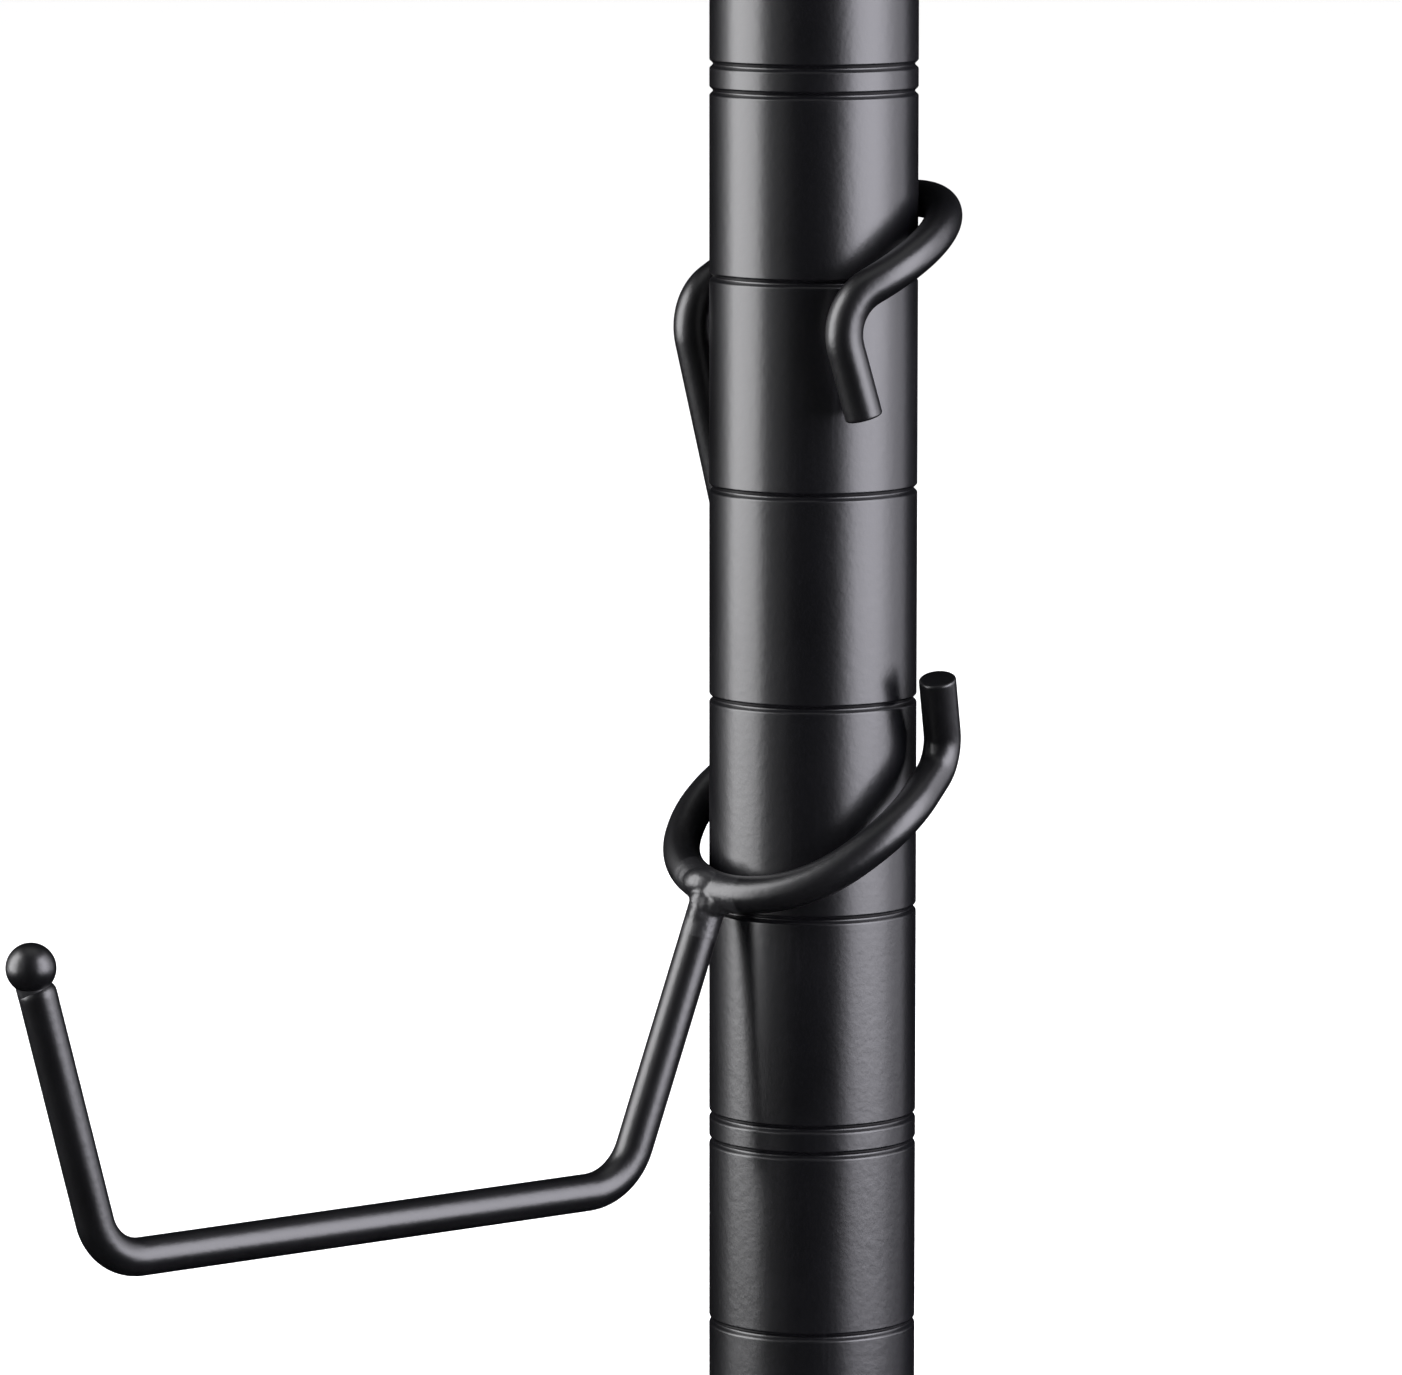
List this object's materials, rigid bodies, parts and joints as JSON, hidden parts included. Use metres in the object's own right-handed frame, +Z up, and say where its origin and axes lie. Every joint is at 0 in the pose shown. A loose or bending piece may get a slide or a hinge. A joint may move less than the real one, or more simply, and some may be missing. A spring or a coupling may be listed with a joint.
{
  "type": "shelving post with clamp-on hook",
  "caption": "Short grooved shelving post on a levelling foot, with a bent-wire hook clamped round it; the arm ends in a ball tip.",
  "frame": {"origin": "centre of the foot pad's flat underside, on the floor", "axes": "+Z up along the post; the hook's arm points to -Y; the leg between the hook's loops is at -X"},
  "size_m": [0.0385, 0.1317, 0.2258],
  "materials": {
    "pad_plastic": "fine moulded",
    "stud_steel": "bright zinc",
    "insert_steel": "zinc",
    "post_coat": "semi-gloss powder coat",
    "cap_plastic": "satin moulded",
    "wire_coat": "satin powder coat",
    "weld_coat": "powder coat over weld"
  },
  "bodies": {
    "pad": {"foot_pad": "pad_plastic"},
    "stud": {"leveling_stud": "stud_steel"},
    "post": {"post_tube": "post_coat", "foot_insert": "insert_steel"},
    "cap": {"top_cap": "cap_plastic"},
    "hook": {"clamp_wire": "wire_coat", "hook_arm": "wire_coat", "arm_weld": "weld_coat", "ball_tip": "wire_coat", "ball_weld": "weld_coat"}
  },
  "joints": [
    {"name": "post_level", "type": "slide", "parent": "pad", "child": "post", "axis": [0, 0, 1], "range_m": [-0.0025, 0.005]},
    {"name": "stud_turn", "type": "hinge", "parent": "pad", "child": "stud", "pos_m": [0, 0, 0.004], "axis": [0, 0, 1], "range_deg": [-1440, 720]},
    {"name": "hook_slide", "type": "slide", "parent": "post", "child": "hook", "axis": [0, 0, 1], "range_m": [-0.055, 0.035]},
    {"name": "cap_pull", "type": "slide", "parent": "post", "child": "cap", "axis": [0, 0, 1], "range_m": [0, 0.016]}
  ],
  "couplings": [
    {"joint": "stud_turn", "follows": "post_level", "rad_per_m": -5026.5}
  ]
}
